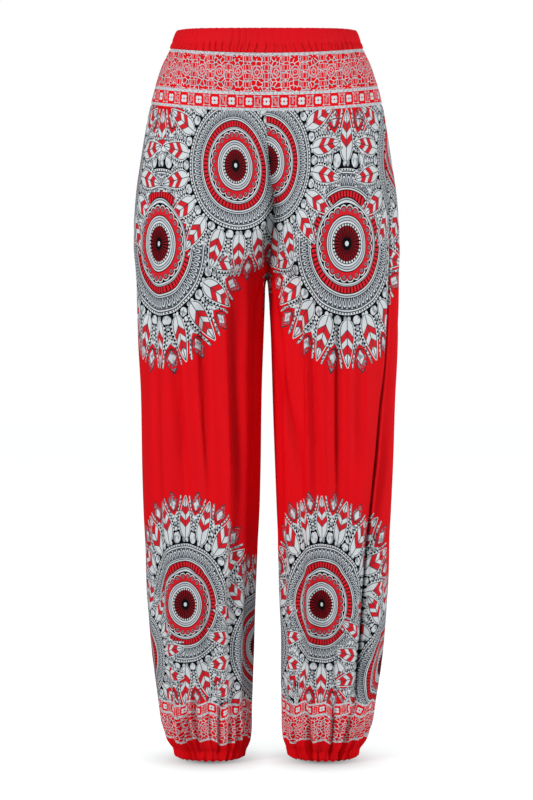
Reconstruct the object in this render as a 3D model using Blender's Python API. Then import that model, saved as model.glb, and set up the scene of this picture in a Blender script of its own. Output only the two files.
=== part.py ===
"""Harem pants filled out as if worn, with nobody in them.

Metres, +Z up, the front faces -Y and +X is the wearer's left. The origin is the middle of the waist
opening, where a waist holds the garment up.

Each leg is a tube with an elliptical section. Above the crotch the two tubes run into each other and
are cut off at the centre seam, so that one table of sections shapes the trunk and both legs.
An angle on a section is 0 at the outer side, 90 on the front, 180 at the inseam and 270 on the back.
"""

import math
from collections import namedtuple

import bmesh
import bpy

MM = 0.001

# Cloth and seams
CLOTH = 1.5 * MM
SEAM_GAP = 0.3 * MM
WAIST = 0.0
WAISTBAND_END = -27.4 * MM
WAISTBAND_DIP = 6.2 * MM
YOKE_END = -103.0 * MM
YOKE_DIP_FRONT = 8.5 * MM
YOKE_DIP_BACK = 4.0 * MM
DIP_END = -265.0 * MM
CROTCH = -336.0 * MM
CASING_TOP = -986.0 * MM
CASING_END = -998.0 * MM

# Sections of one leg, in mm: its outer and inner edge from the centre line, and its depth to the front
# and the back. An inner edge below zero lies past the centre seam, which cuts it off.
Section = namedtuple("Section", "z outer inner front back")
SECTIONS = (
    Section(0, 121.0, -121.0, 93, 93),
    Section(-28, 131.5, -131.5, 98, 100),
    Section(-55, 143.9, -143.9, 104, 108),
    Section(-97, 156.4, -156.4, 111, 120),
    Section(-138, 164.8, -164.8, 115, 130),
    Section(-192, 173.8, -173.8, 118, 138),
    Section(-220, 177.8, -136.6, 119, 140),
    Section(-247, 180.2, -96.7, 118, 140),
    Section(-270, 181.4, -66.8, 116, 138),
    Section(-300, 181.6, -37.0, 113, 134),
    Section(-320, 180.8, -17.8, 110, 130),
    Section(-336, 180.0, 0.0, 108, 126),
    Section(-369, 179.6, 3.0, 104, 119),
    Section(-410, 179.0, 4.9, 100, 111),
    Section(-494, 175.4, 7.6, 95, 102),
    Section(-603, 173.0, 10.0, 90, 95),
    Section(-713, 168.5, 14.0, 83, 90),
    Section(-795, 164.4, 18.7, 78, 86),
    Section(-850, 159.8, 19.4, 74, 83),
    Section(-905, 153.0, 20.0, 69, 78),
    Section(-946, 146.8, 20.8, 65, 73),
    Section(-962, 141.0, 21.6, 62, 69),
    Section(-973, 137.0, 23.2, 58, 64),
    Section(-980, 132.4, 25.6, 54, 59),
    Section(-986, 127.6, 28.4, 49, 51.5),
    Section(-998, 123.0, 33.2, 44.5, 46.0),
)

# The side seam of the wearer's left leg swings forwards on its way down. Height in mm, angle in degrees.
Swing = namedtuple("Swing", "z angle")
LEFT_SEAM = (
    Swing(-30, 0), Swing(-95, 5), Swing(-160, 15), Swing(-254, 20), Swing(-348, 22), Swing(-447, 24),
    Swing(-512, 31), Swing(-590, 38), Swing(-630, 43), Swing(-690, 49), Swing(-757, 53), Swing(-986, 55),
)

# The largest folds: the angle of each trough or crest above and below the knee, and its lift in mm.
Fold = namedtuple("Fold", "high low lift")
DRIFT_FROM = -450 * MM
DRIFT_TO = -650 * MM
RIGHT_FOLDS = (
    Fold(20, 18, 1.5), Fold(44, 43, -3.0), Fold(56, 55, 3.0), Fold(66, 75, -3.5), Fold(78, 87, 3.0),
    Fold(90, 98, -4.0), Fold(104, 113, 3.5), Fold(126, 127, -6.5), Fold(138, 139, 1.5), Fold(152, 150, -4.0),
    Fold(167, 165, 2.0), Fold(190, 188, -3.0), Fold(207, 205, 3.5), Fold(224, 228, -4.5), Fold(243, 246, 3.5),
    Fold(262, 258, -5.0), Fold(280, 277, 3.5), Fold(300, 304, -4.5), Fold(318, 320, 3.0), Fold(340, 336, -3.5),
)
LEFT_FOLDS = (
    Fold(87, 86, -5.5), Fold(100, 98, 3.0), Fold(110, 108, -2.0), Fold(117, 117, 2.5), Fold(124, 128, -4.0),
    Fold(139, 146, 3.0), Fold(152, 158, -3.5), Fold(170, 171, 2.0), Fold(190, 190, -3.0), Fold(209, 206, 3.5),
    Fold(228, 232, -4.5), Fold(247, 250, 3.5), Fold(268, 264, -5.0), Fold(287, 284, 3.0), Fold(306, 309, -4.0),
    Fold(325, 322, 3.0), Fold(340, 338, -2.0),
)
# The deep pleat that follows the left side seam: degrees from the seam, and lift in mm.
Pleat = namedtuple("Pleat", "off lift")
SEAM_PLEAT = (Pleat(-13, 3.0), Pleat(0, -9.0), Pleat(18, 3.5))

# How much of a fold and of an ankle gather shows at each height in mm, as shares of 1.
Share = namedtuple("Share", "z folds gathers")
SHARES = (
    Share(-130, 0.0, 0.0), Share(-200, 0.3, 0.0), Share(-300, 0.55, 0.0), Share(-420, 1.0, 0.0),
    Share(-860, 1.0, 0.0), Share(-915, 0.7, 0.25), Share(-955, 0.3, 0.8), Share(-986, 0.0, 1.0),
)
ANKLE_GATHER = 1.9 * MM
WAIST_GATHERS = 72
WAIST_GATHER = 0.9 * MM
POINTS_A_GATHER = 3

# Each leg's panels, with the ankle gathers that each takes up.
Panel = namedtuple("Panel", "name side back gathers")
PANELS = (
    Panel("right_leg_front", -1, False, 14),
    Panel("right_leg_back", -1, True, 14),
    Panel("left_leg_front", 1, False, 10),
    Panel("left_leg_back", 1, True, 18),
)
LEG_ROWS = (
    -122, -158, -195, -230, -262, -290, -312, -327, -345, -375, -430, -500, -575, -650, -725, -795, -855,
    -905, -940, -962, -975, -982,
)
YOKE_COLUMNS = 24
YOKE_ROWS = 3


def smoothstep(low, high, value):
    share = min(1.0, max(0.0, (value - low) / (high - low)))
    return share * share * (3 - 2 * share)


def slopes(xs, ys):
    """Slopes that keep a curve through the points from overshooting them."""
    steps = [(ys[i + 1] - ys[i]) / (xs[i + 1] - xs[i]) for i in range(len(xs) - 1)]
    inner = [
        0.0 if before * after <= 0 else 2 * before * after / (before + after)
        for before, after in zip(steps, steps[1:])
    ]
    return [steps[0], *inner, steps[-1]]


def reader(table, column):
    """A smooth function of the height in metres that passes through one column of a table in mm."""
    rows = sorted(table, key=lambda row: row.z)
    xs = [row.z for row in rows]
    ys = [getattr(row, column) for row in rows]
    tangents = slopes(xs, ys)

    def read(z):
        x = min(max(z / MM, xs[0]), xs[-1])
        i = max(k for k in range(len(xs) - 1) if xs[k] <= x)
        width = xs[i + 1] - xs[i]
        t = (x - xs[i]) / width
        start = ys[i] * (1 + 2 * t) + tangents[i] * width * t
        end = ys[i + 1] * (3 - 2 * t) - tangents[i + 1] * width * (1 - t)
        return start * (1 - t) ** 2 + end * t * t

    return read


outer_edge, inner_edge, front_depth, back_depth = (reader(SECTIONS, column) for column in Section._fields[1:])
seam_swing = reader(LEFT_SEAM, "angle")
fold_share = reader(SHARES, "folds")
gather_share = reader(SHARES, "gathers")


def ellipse(z, angle):
    """Middle, half width and half depth, in metres, of a leg's section on that side of it."""
    outer = outer_edge(z) * MM
    inner = inner_edge(z) * MM
    depth = (front_depth(z) if math.sin(angle) >= 0 else back_depth(z)) * MM
    return (outer + inner) / 2, (outer - inner) / 2, depth


def section_point(side, angle, z, lift):
    """The point at that angle and height, moved out of the wall by lift."""
    middle, width, depth = ellipse(z, angle)
    across = math.cos(angle) / width
    along = -math.sin(angle) / depth
    size = math.hypot(across, along)
    x = middle + width * math.cos(angle) + lift * across / size
    y = -depth * math.sin(angle) + lift * along / size
    return side * x, y, z


def seam_angle(side, z):
    return math.radians(seam_swing(z)) if side > 0 else 0.0


def inner_angle(z):
    """Where a section ends: at the inseam, or where the centre seam cuts it off."""
    middle, width, depth = ellipse(z, math.pi / 2)
    cut = math.acos(max(-1.0, min(1.0, (SEAM_GAP / 2 - middle) / width)))
    return min(cut, math.pi - SEAM_GAP / 2 / depth)


def fold_marks(side, z):
    """(angle in degrees, lift in mm) of each trough and crest at that height, in order."""
    drift = smoothstep(DRIFT_FROM, DRIFT_TO, z)
    folds = LEFT_FOLDS if side > 0 else RIGHT_FOLDS
    marks = [(fold.high + (fold.low - fold.high) * drift, fold.lift) for fold in folds]
    if side > 0:
        seam = math.degrees(seam_angle(side, z))
        marks += [(seam + pleat.off, pleat.lift) for pleat in SEAM_PLEAT]
    return sorted(marks)


def fold_lift(side, angle, z):
    """How far the folds move the cloth out, in metres."""
    marks = fold_marks(side, z)
    turn = 360
    first = marks[0][0]
    place = (math.degrees(angle) - first) % turn + first
    marks.append((first + turn, marks[0][1]))
    i = max(k for k in range(len(marks) - 1) if marks[k][0] <= place + 1e-9)
    (start, low), (end, high) = marks[i], marks[i + 1]
    lift = low + (high - low) * (1 - math.cos(math.pi * (place - start) / (end - start))) / 2
    middle, width, _ = ellipse(z, angle)
    from_centre = middle + width * math.cos(angle)
    beside_seam = smoothstep(0, 30 * MM, from_centre)
    below_crotch = smoothstep(CROTCH, CROTCH - 60 * MM, z)
    return lift * MM * fold_share(z) * (beside_seam + (1 - beside_seam) * below_crotch)


def uneven(place):
    """A steady run of unequal sizes about 1, for gathers."""
    return 1 + 0.3 * math.sin(2.1 * place) + 0.2 * math.sin(5.3 * place + 1)


def yoke_dip(angle):
    """How far the yoke's lower seam hangs below its height at the sides."""
    dip = YOKE_DIP_FRONT if math.sin(angle) > 0 else YOKE_DIP_BACK
    return dip * math.sin(angle) ** 2


def waistband_end(angle):
    return WAISTBAND_END - WAISTBAND_DIP * math.sin(angle) ** 2


def panel_angle(panel, share, z):
    """The angle at that share of the way from a leg panel's side seam to its inner edge."""
    way = -1 if panel.back else 1
    start = seam_angle(panel.side, z) + way * SEAM_GAP / 2 / ellipse(z, way)[2]
    return start + share * (way * inner_angle(z) - start)


def yoke_angle(back, share, z):
    """The angle at that share of the way from the yoke's left side seam to its right one."""
    way = -1 if back else 1
    gap = SEAM_GAP / 2 / ellipse(z, way)[2]
    start = seam_angle(1, z) + way * gap
    return start + share * (way * (math.pi - gap) - start)


def leg_wall(panel):
    """A leg panel's outer and inner grids of points, from the yoke down to the ankle casing."""
    columns = 2 * panel.gathers
    outer, inner = [], []
    heights = [YOKE_END - SEAM_GAP] + [row * MM for row in LEG_ROWS] + [CASING_TOP + SEAM_GAP]
    for height in heights:
        lowered = smoothstep(DIP_END, YOKE_END, height)
        rows = [], []
        for column in range(columns + 1):
            share = column / columns
            z = height - lowered * yoke_dip(panel_angle(panel, share, height))
            angle = panel_angle(panel, share, z)
            gather = math.cos(2 * math.pi * panel.gathers * share) * uneven(panel.gathers * share)
            lift = fold_lift(panel.side, angle, z) + ANKLE_GATHER * gather * gather_share(z)
            rows[0].append(section_point(panel.side, angle, z, lift))
            rows[1].append(section_point(panel.side, angle, z, lift - CLOTH))
        outer.append(rows[0])
        inner.append(rows[1])
    return outer, inner


def yoke_wall(back):
    """The outer and inner grids of the yoke's front or back, from the wearer's left seam to the right one."""
    outer, inner = [], []
    for row in range(YOKE_ROWS + 1):
        down = row / YOKE_ROWS
        level = WAISTBAND_END + down * (YOKE_END - WAISTBAND_END)
        rows = [], []
        for column in range(YOKE_COLUMNS + 1):
            share = column / YOKE_COLUMNS
            straight = yoke_angle(back, share, level)
            top = waistband_end(straight) - SEAM_GAP
            z = top + down * (YOKE_END - yoke_dip(straight) - top)
            angle = yoke_angle(back, share, z)
            rows[0].append(section_point(1, angle, z, 0))
            rows[1].append(section_point(1, angle, z, -CLOTH))
        outer.append(rows[0])
        inner.append(rows[1])
    return outer, inner


# Profiles of the two elastic casings, as closed loops: the share of the way down, the lift in mm, and how
# far the gathers show, as a share of 1.
Rim = namedtuple("Rim", "down lift gathers")
WAISTBAND_RIM = (
    Rim(1.0, 0.3, 1.0), Rim(0.55, 0.9, 0.6), Rim(0.12, 0.5, 0.8), Rim(0.0, -1.0, 0.3), Rim(0.06, -2.3, 0.0),
    Rim(1.0, -2.3, 0.0),
)
CASING_RIM = (
    Rim(0.0, 0.0, 1.0), Rim(0.5, 1.2, 1.0), Rim(1.0, -0.4, 1.0), Rim(0.95, -2.2, 0.3), Rim(0.0, -2.0, 0.3),
)


def waistband_loop(rim):
    """One edge of the waistband's casing, all the way round."""
    count = WAIST_GATHERS * POINTS_A_GATHER
    loop = []
    for i in range(count):
        angle = 2 * math.pi * i / count
        z = WAIST + rim.down * (waistband_end(angle) - WAIST)
        wave = math.cos(2 * math.pi * i / POINTS_A_GATHER) * uneven(i / POINTS_A_GATHER)
        loop.append(section_point(1, angle, z, rim.lift * MM + WAIST_GATHER * wave * rim.gathers))
    return loop


def casing_loop(side, rim):
    """One edge of an ankle's casing, with its gathers in line with those of the leg's panels."""
    z = CASING_TOP + rim.down * (CASING_END - CASING_TOP)
    seam = seam_angle(side, z)
    loop = []
    for panel in (panel for panel in PANELS if panel.side == side):
        way = -1 if panel.back else 1
        count = panel.gathers * POINTS_A_GATHER
        places = range(count) if way > 0 else range(count, 0, -1)
        for i in places:
            share = i / count
            angle = seam + share * (way * math.pi - seam)
            wave = math.cos(2 * math.pi * panel.gathers * share) * uneven(panel.gathers * share)
            loop.append(section_point(side, angle, z, rim.lift * MM + ANKLE_GATHER * wave * rim.gathers))
    return loop


def add_solid(name, points, faces, material):
    """Adds one closed piece, smooth but for its cut edges."""
    mesh = bpy.data.meshes.new(name)
    mesh.from_pydata(points, [], faces)
    work = bmesh.new()
    work.from_mesh(mesh)
    bmesh.ops.recalc_face_normals(work, faces=work.faces)
    work.to_mesh(mesh)
    work.free()
    mesh.shade_smooth()
    mesh.set_sharp_from_angle(angle=math.radians(50))
    mesh.materials.append(material)
    piece = bpy.data.objects.new(name, mesh)
    bpy.context.scene.collection.objects.link(piece)
    return piece


def add_wall(name, outer, inner, material):
    """A cloth wall between two grids of points, closed along its four edges."""
    rows, columns = len(outer), len(outer[0])
    points = [point for grid in (outer, inner) for row in grid for point in row]

    def index(grid, row, column):
        return (grid * rows + row) * columns + column

    faces = []
    for row in range(rows - 1):
        for column in range(columns - 1):
            for grid in (0, 1):
                corners = [
                    index(grid, row, column), index(grid, row, column + 1),
                    index(grid, row + 1, column + 1), index(grid, row + 1, column),
                ]
                faces.append(corners if grid == 0 else corners[::-1])
        for column in (0, columns - 1):
            faces.append([
                index(0, row, column), index(0, row + 1, column), index(1, row + 1, column), index(1, row, column),
            ])
    for column in range(columns - 1):
        for row in (0, rows - 1):
            faces.append([
                index(0, row, column), index(0, row, column + 1), index(1, row, column + 1), index(1, row, column),
            ])
    return add_solid(name, points, faces, material)


def add_ring(name, loops, material):
    """A closed casing through loops of points that go round its profile."""
    count = len(loops[0])
    points = [point for loop in loops for point in loop]
    faces = []
    for k in range(len(loops)):
        following = (k + 1) % len(loops)
        for i in range(count):
            j = (i + 1) % count
            faces.append([k * count + i, k * count + j, following * count + j, following * count + i])
    return add_solid(name, points, faces, material)


def cloth_material(name, colour):
    material = bpy.data.materials.new(name)
    material.use_nodes = True
    shader = material.node_tree.nodes["Principled BSDF"]
    shader.inputs["Base Color"].default_value = (*colour, 1.0)
    shader.inputs["Roughness"].default_value = 0.75
    shader.inputs["Metallic"].default_value = 0.0
    return material


def main():
    for piece in list(bpy.data.objects):
        bpy.data.objects.remove(piece)
    plain = cloth_material("red_viscose", (0.66, 0.008, 0.018))
    printed = cloth_material("printed_viscose", (0.45, 0.28, 0.29))
    add_ring("waistband", [waistband_loop(rim) for rim in WAISTBAND_RIM], plain)
    add_wall("yoke_front", *yoke_wall(back=False), printed)
    add_wall("yoke_back", *yoke_wall(back=True), printed)
    for panel in PANELS:
        add_wall(panel.name, *leg_wall(panel), printed)
    for name, side in (("right_ankle_casing", -1), ("left_ankle_casing", 1)):
        add_ring(name, [casing_loop(side, rim) for rim in CASING_RIM], plain)


main()
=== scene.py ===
"""The dressed harem pants: the worn garment with nobody in it, over a white floor.

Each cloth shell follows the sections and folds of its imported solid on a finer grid, with creases,
gathers and seams of its own. Shader nodes draw the print on the cloth's own coordinates.
Metres, +Z up, the front faces -Y and +X is the wearer's left. Tables hold millimetres and degrees.
"""

import math
from collections import namedtuple
from functools import partialmethod

import bpy
import numpy as np
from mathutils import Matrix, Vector


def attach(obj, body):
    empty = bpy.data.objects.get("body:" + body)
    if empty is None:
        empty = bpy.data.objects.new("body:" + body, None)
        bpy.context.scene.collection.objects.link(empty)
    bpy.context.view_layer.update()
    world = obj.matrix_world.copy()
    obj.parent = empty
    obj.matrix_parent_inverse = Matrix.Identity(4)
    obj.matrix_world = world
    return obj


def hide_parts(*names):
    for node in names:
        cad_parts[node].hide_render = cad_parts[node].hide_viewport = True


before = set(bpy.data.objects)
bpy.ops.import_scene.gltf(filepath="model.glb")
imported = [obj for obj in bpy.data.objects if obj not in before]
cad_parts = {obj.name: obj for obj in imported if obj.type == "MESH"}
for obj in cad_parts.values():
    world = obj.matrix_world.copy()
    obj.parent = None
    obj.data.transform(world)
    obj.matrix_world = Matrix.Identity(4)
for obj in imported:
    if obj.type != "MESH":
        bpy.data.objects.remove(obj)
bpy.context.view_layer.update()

MM = 0.001


def smoothstep(low, high, value):
    share = np.clip((value - low) / (high - low), 0.0, 1.0)
    return share * share * (3 - 2 * share)


def fade(z, start, full):
    """A share of 1 that grows from one height in mm to another."""
    return smoothstep(start * MM, full * MM, z)


def window(z, top, full, full_end, end):
    """A share of 1 that grows from the height top to full, and goes again from full_end to end."""
    return fade(z, top, full) * fade(z, end, full_end)


def curve(xs, ys):
    """A smooth function of the height in metres that passes through points in mm."""
    steps = np.diff(ys) / np.diff(xs)
    before, after = steps[:-1], steps[1:]
    level = before * after <= 0
    inner = np.where(level, 0.0, 2 * before * after / np.where(level, 1.0, before + after))
    tangents = np.concatenate([steps[:1], inner, steps[-1:]])

    def read(z):
        x = np.clip(np.asarray(z, float) / MM, xs[0], xs[-1])
        i = np.clip(np.searchsorted(xs, x, side="right") - 1, 0, len(xs) - 2)
        width = xs[i + 1] - xs[i]
        t = (x - xs[i]) / width
        start = ys[i] * (1 + 2 * t) + tangents[i] * width * t
        end = ys[i + 1] * (3 - 2 * t) - tangents[i + 1] * width * (1 - t)
        return start * (1 - t) ** 2 + end * t * t

    return read


def curves(*rows):
    """One smooth function of the height for each column of some rows that start with their height."""
    heights, *columns = np.array(sorted(rows), float).T
    return [curve(heights, column) for column in columns]


# ---- The garment's form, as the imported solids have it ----

CLOTH = 1.2 * MM
SEAM_GAP = 0.04 * MM
WAISTBAND_END = -27.4 * MM
WAISTBAND_DIP = 6.2 * MM
YOKE_END = -103.0 * MM
YOKE_DIP_FRONT = 8.5 * MM
YOKE_DIP_BACK = 4.0 * MM
DIP_END = -265.0 * MM
CROTCH = -336.0 * MM
CASING_TOP = -986.0 * MM
CASING_END = -998.0 * MM

# Sections of one leg: its height, its outer and inner edge from the centre line, and its depth to the front
# and back.
outer_edge, inner_edge, front_depth, back_depth = curves(
    (0, 121, -121, 93, 93), (-28, 131.5, -131.5, 98, 100), (-55, 143.9, -143.9, 104, 108),
    (-97, 156.4, -156.4, 111, 120), (-138, 164.8, -164.8, 115, 130), (-192, 173.8, -173.8, 118, 138),
    (-220, 177.8, -136.6, 119, 140), (-247, 180.2, -96.7, 118, 140), (-270, 181.4, -66.8, 116, 138),
    (-300, 181.6, -37, 113, 134), (-320, 180.8, -17.8, 110, 130), (-336, 180, 0, 108, 126),
    (-369, 179.6, 3, 104, 119), (-410, 179, 4.9, 100, 111), (-494, 175.4, 7.6, 95, 102),
    (-603, 173, 10, 90, 95), (-713, 168.5, 14, 83, 90), (-795, 164.4, 18.7, 78, 86),
    (-850, 159.8, 19.4, 74, 83), (-905, 153, 20, 69, 78), (-946, 146.8, 20.8, 65, 73),
    (-962, 141, 21.6, 62, 69), (-973, 137, 23.2, 58, 64), (-980, 132.4, 25.6, 54, 59),
    (-986, 127.6, 28.4, 49, 51.5), (-998, 123, 33.2, 44.5, 46),
)

# How far the side seam of the wearer's left leg swings forwards.
seam_swing, = curves(
    (-30, 0), (-95, 5), (-160, 15), (-254, 20), (-348, 22), (-447, 24), (-512, 31), (-590, 38), (-630, 43),
    (-690, 49), (-757, 53), (-986, 55),
)

# The largest folds: the angle of each trough or crest above and below the knee, and its lift.
DRIFT_FROM = -450 * MM
DRIFT_TO = -650 * MM
RIGHT_FOLDS = (
    (20, 18, 1.5), (44, 43, -3), (56, 55, 3), (66, 75, -3.5), (78, 87, 3), (90, 98, -4), (104, 113, 3.5),
    (126, 127, -6.5), (138, 139, 1.5), (152, 150, -4), (167, 165, 2), (190, 188, -3), (207, 205, 3.5),
    (224, 228, -4.5), (243, 246, 3.5), (262, 258, -5), (280, 277, 3.5), (300, 304, -4.5), (318, 320, 3),
    (340, 336, -3.5),
)
LEFT_FOLDS = (
    (87, 86, -5.5), (100, 98, 3), (110, 108, -2), (117, 117, 2.5), (124, 128, -4), (139, 146, 3),
    (152, 158, -3.5), (170, 171, 2), (190, 190, -3), (209, 206, 3.5), (228, 232, -4.5), (247, 250, 3.5),
    (268, 264, -5), (287, 284, 3), (306, 309, -4), (325, 322, 3), (340, 338, -2),
)
# The deep pleat that follows the left side seam: degrees from the seam, and lift.
SEAM_PLEAT = ((-13, 3), (0, -9), (18, 3.5))

# How far each leg's outer and inner edge hangs out from its section, by height.
right_ease = curves(
    (-300, 0, 0), (-371, -2.4, 0.8), (-426, -3.4, 0.2), (-563, -3.6, 1), (-727, -3.2, 1.2), (-781, -2.2, 3),
    (-836, -2.2, 2), (-891, -2.4, 0.6), (-945, -1.6, 0), (-998, 0, 0),
)
left_ease = curves(
    (-200, -1.8, 0), (-300, -1.4, 0), (-371, -1.2, -0.4), (-426, -1.4, -1.2), (-563, -1.6, -2.4),
    (-727, -0.1, -3.4), (-781, 0.2, -1), (-836, 0.2, -2.3), (-891, 0, -1.2), (-945, -1, -0.7), (-998, 0, 0),
)
# How far down from the yoke that hang sets in.
HANG_REACH = 80 * MM
# How far the centre front seam hangs over to the left, and how far to each side of it the cloth goes along.
seam_drift, = curves((-103, -1.5), (-150, 1.5), (-200, 6.5), (-250, 11), (-300, 6), (-345, 0))
SEAM_DRIFT_WIDTH = 42 * MM

# How much of a fold and of an ankle gather shows at each height, as shares of 1.
fold_share, gather_share = curves(
    (-130, 0, 0), (-200, 0.3, 0), (-300, 0.55, 0), (-420, 1, 0), (-860, 1, 0), (-915, 0.7, 0.25),
    (-955, 0.3, 0.8), (-986, 0, 1),
)
ANKLE_GATHER = 1.9 * MM
WAIST_GATHERS = 72

# A panel's side is 1 on the wearer's left, and its way is 1 in front and -1 behind.
Panel = namedtuple("Panel", "name side way gathers")
PANELS = (
    Panel("right_leg_front", -1, 1, 14), Panel("right_leg_back", -1, -1, 14),
    Panel("left_leg_front", 1, 1, 10), Panel("left_leg_back", 1, -1, 18),
)

# ---- What the shells add to that form ----

LEG_COLUMNS = 132
LEG_STEP = 3.4 * MM
HEM_STEP = 1.5 * MM
HEM_FROM = -870 * MM

# A crease runs between two places on a leg, given by angle and height. It is that wide to each side, rises
# out of the flat cloth over "rise" at its upper end, and dies out over "fall" at its lower one.
Crease = namedtuple("Crease", "high high_z low low_z width lift rise fall")
CREASES = {
    "right_leg_front": (
        (66, -380, 73, -640, 5, -3.1, 90, 120), (91, -350, 99, -660, 6, -3.6, 80, 140),
        (117, -330, 133, -690, 9, -4.5, 70, 160), (153, -345, 152, -620, 5, -3.4, 40, 120),
        (42, -420, 44, -700, 6, -2.5, 120, 140), (126, -690, 118, -880, 6, -3.1, 90, 80),
        (97, -720, 86, -930, 6, -3.1, 100, 60), (80, -880, 76, -986, 3, -6.5, 50, 0),
        (66, -905, 68, -986, 2.8, -4.6, 40, 0), (112, -890, 104, -986, 3.2, -5, 50, 0),
        (53, -915, 57, -986, 2.8, -4, 40, 0), (124, -925, 118, -986, 2.8, -2.4, 40, 0),
        (140, -900, 132, -986, 3.4, -4.2, 50, 0), (163, -300, 150, -410, 4, -2, 30, 60),
        (148, -282, 128, -350, 4, -1.4, 30, 40), (131, -268, 108, -310, 5, -1, 30, 30),
        (74, -130, 80, -260, 9, -0.9, 50, 60), (40, -120, 46, -250, 10, -0.9, 50, 70),
    ),
    "left_leg_front": (
        (158, -350, 124, -640, 7, -3.9, 60, 120), (123, -370, 118, -600, 4, -2, 80, 100),
        (87, -330, 86, -700, 7, -4.8, 120, 160), (66, -380, 68, -620, 6, -2.8, 100, 100),
        (112, -400, 108, -650, 5, -2.2, 90, 120), (106, -720, 98, -900, 7, -3.4, 90, 80),
        (85, -905, 79, -986, 2.8, -6.5, 40, 0), (64, -915, 63, -986, 3, -5.5, 40, 0),
        (98, -930, 93, -986, 2.6, -2.4, 40, 0), (120, -900, 110, -986, 3.2, -5, 50, 0),
        (148, -905, 138, -986, 3.4, -4.2, 50, 0), (160, -300, 150, -400, 4, -2, 30, 60),
        (143, -280, 126, -350, 4, -1.4, 30, 40), (104, -125, 98, -250, 9, -0.9, 50, 60),
        (60, -118, 57, -230, 9, -0.9, 40, 60),
    ),
    "right_leg_back": (
        (-60, -330, -66, -640, 7, -3.6, 90, 140), (-100, -345, -104, -700, 8, -4.5, 80, 160),
        (-136, -340, -131, -620, 6, -3.6, 60, 120), (-24, -400, -22, -720, 7, -2.8, 110, 140),
        (-84, -700, -80, -900, 6, -3.1, 90, 80), (-160, -310, -148, -420, 4, -2.2, 30, 60),
        (-146, -290, -124, -360, 5, -1.6, 30, 50), (-70, -900, -68, -986, 4, -3.4, 60, 0),
        (-110, -890, -106, -986, 5, -3, 60, 0), (-36, -905, -38, -986, 4, -2.6, 50, 0),
    ),
    "left_leg_back": (
        (-54, -340, -50, -660, 7, -3.9, 90, 140), (-92, -350, -98, -690, 8, -4.2, 80, 160),
        (-134, -335, -130, -600, 6, -3.6, 60, 110), (8, -380, 14, -700, 7, -3.1, 110, 140),
        (-76, -710, -82, -900, 6, -3.4, 90, 80), (-158, -312, -146, -430, 4, -2.2, 30, 60),
        (-142, -288, -122, -350, 5, -1.6, 30, 50), (-62, -900, -66, -986, 4, -3.2, 60, 0),
        (-104, -895, -100, -986, 5, -3.2, 60, 0), (-20, -900, -18, -986, 4, -2.8, 50, 0),
        (22, -905, 24, -986, 4, -2.6, 50, 0),
    ),
}
CREASES = {name: [Crease(*row) for row in table] for name, table in CREASES.items()}

# Faint unevenness of hanging cloth: waves round a leg, their turn along it, how far they bend, and their
# lift.
RIPPLES = ((13, 9, 1.1, 0.55), (22, -14, 1.6, 0.38), (37, 21, 2, 0.2))

SEAM_DITCH = 1.2 * MM
SEAM_WIDTH = 1.5 * MM
SEAM_CLOSING = 9 * MM
# How near a seam the creases are held down by it.
SEAM_EASING = 8 * MM

# The crack down the left side seam, where the front tucks in behind the back.
CRACK_DEPTH = 6.5 * MM
CRACK_WIDTH = 2.6 * MM
CRACK_WIDTH_BEHIND = CRACK_WIDTH * 0.6
CROTCH_HOLLOW = 9 * MM
CROTCH_HOLLOW_WIDTH = 11 * MM
# How wide the painted shade in the tucks is, and how deep a crease has all of its painted shade.
SIDE_TUCK = 4.5 * MM
BESIDE_TUCK = 9 * MM
BEHIND_TUCK = 1.8 * MM
FULL_SHADE_DEPTH = 4 * MM

# The cloth's own coordinates start at a straight grain line this far from the centre line. The cloth
# is gathered, so it is wider than the leg that it hangs round.
GRAIN_LINE = 95 * MM
FULLNESS = 1.33
# How much more the right leg is gathered beside the centre seam, and from where on.
CENTRE_GATHER = 0.22
CENTRE_GATHER_FROM = -62 * MM


def ellipse(z, angle):
    """Middle, half width and half depth of a leg's section on that side of it."""
    outer = outer_edge(z) * MM
    inner = inner_edge(z) * MM
    depth = np.where(np.sin(angle) >= 0, front_depth(z), back_depth(z)) * MM
    return (outer + inner) / 2, (outer - inner) / 2, depth


def section_points(side, angle, z, lift):
    """The points at those angles and heights, moved out of the wall by lift, in a last axis of three."""
    middle, width, depth = ellipse(z, angle)
    across = np.cos(angle) / width
    along = -np.sin(angle) / depth
    size = np.hypot(across, along)
    x = middle + width * np.cos(angle) + lift * across / size
    y = -depth * np.sin(angle) + lift * along / size
    return np.stack([side * x, y, np.broadcast_to(z, x.shape)], axis=-1)


def eased(side, points):
    """Moves a leg's points to how its edges hang, and the front's along with the centre seam's drift."""
    z = points[..., 2]
    outer, inner = (read(z) * MM for read in (left_ease if side > 0 else right_ease))
    start, whole = inner_edge(z) * MM, (outer_edge(z) - inner_edge(z)) * MM
    share = np.clip((side * points[..., 0] - start) / whole, 0, 1)
    moved = side * (outer * share - inner * (1 - share)) * smoothstep(YOKE_END, YOKE_END - HANG_REACH, z)
    in_front = smoothstep(0, -40 * MM, points[..., 1])
    over = seam_drift(z) * MM * in_front * np.exp(-(points[..., 0] / SEAM_DRIFT_WIDTH) ** 2)
    points[..., 0] += moved + over
    return points


def seam_angle(side, z):
    return np.radians(seam_swing(z)) if side > 0 else np.zeros_like(z)


def inner_angle(z):
    """Where a section ends: at the inseam, or where the centre seam cuts it off."""
    middle, width, depth = ellipse(z, math.pi / 2)
    cut = np.arccos(np.clip((SEAM_GAP / 2 - middle) / width, -1.0, 1.0))
    return np.minimum(cut, math.pi - SEAM_GAP / 2 / depth)


def panel_angle(panel, share, z):
    """The angle at that share of the way from a leg panel's side seam to its inner edge."""
    start = seam_angle(panel.side, z) + panel.way * SEAM_GAP / 2 / ellipse(z, panel.way)[2]
    return start + share * (panel.way * inner_angle(z) - start)


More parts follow.
